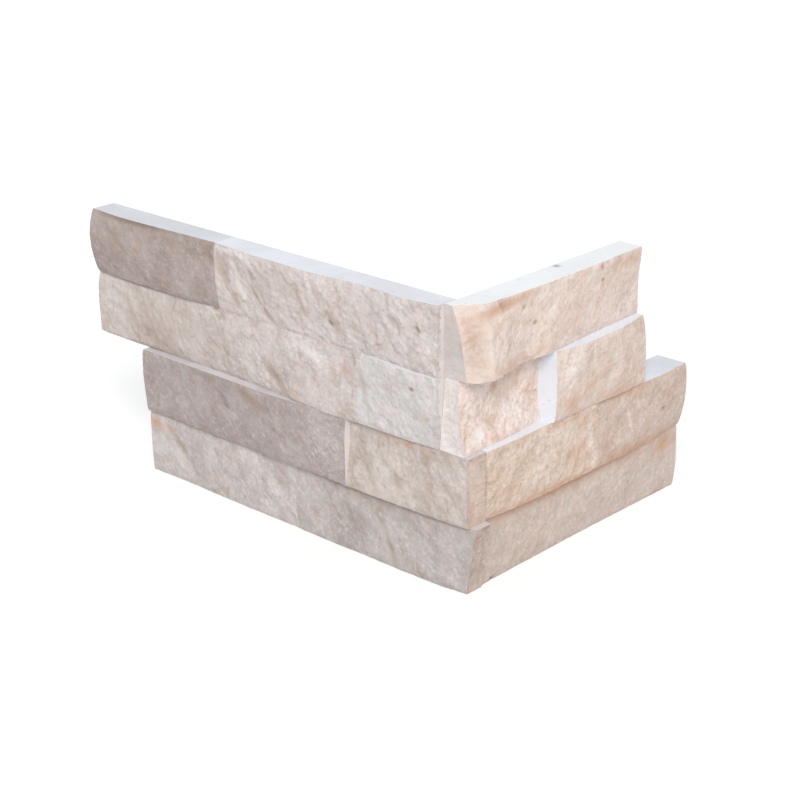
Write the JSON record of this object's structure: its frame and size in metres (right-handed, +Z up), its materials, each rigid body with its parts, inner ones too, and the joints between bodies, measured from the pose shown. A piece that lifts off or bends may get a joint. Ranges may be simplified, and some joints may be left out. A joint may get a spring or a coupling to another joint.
{
  "type": "stone cladding corner",
  "caption": "Outside corner of stacked split-face travertine strips with sawn backs and stepped, interlocking ends, for cladding the corner of a wall.",
  "frame": {"origin": "foot of the inner arris, where the two sawn backs and the bed of the lowest course meet", "axes": "+Z up the courses; the long leg runs along -X with its split face towards -Y, the short leg along +Y with its split face towards +X"},
  "size_m": [0.289, 0.1914, 0.1524],
  "materials": {
    "travertine_taupe": "split, matt, with pits and faint bands",
    "travertine_beige": "split, matt, with pits and faint bands",
    "travertine_rose": "split, matt, with pits and faint bands",
    "travertine_ochre": "split, matt, with rust-coloured bands"
  },
  "bodies": {
    "root": {"long_1_end": "travertine_taupe", "long_1_corner": "travertine_beige", "long_2_end": "travertine_beige", "long_2_corner": "travertine_beige", "long_3_end": "travertine_taupe", "long_3_corner": "travertine_beige", "long_4_end": "travertine_beige", "long_4_corner": "travertine_beige", "short_1": "travertine_rose", "short_2_corner": "travertine_rose", "short_2_end": "travertine_rose", "short_3_corner": "travertine_ochre", "short_3_end": "travertine_ochre", "short_4": "travertine_rose"}
  },
  "joints": []
}
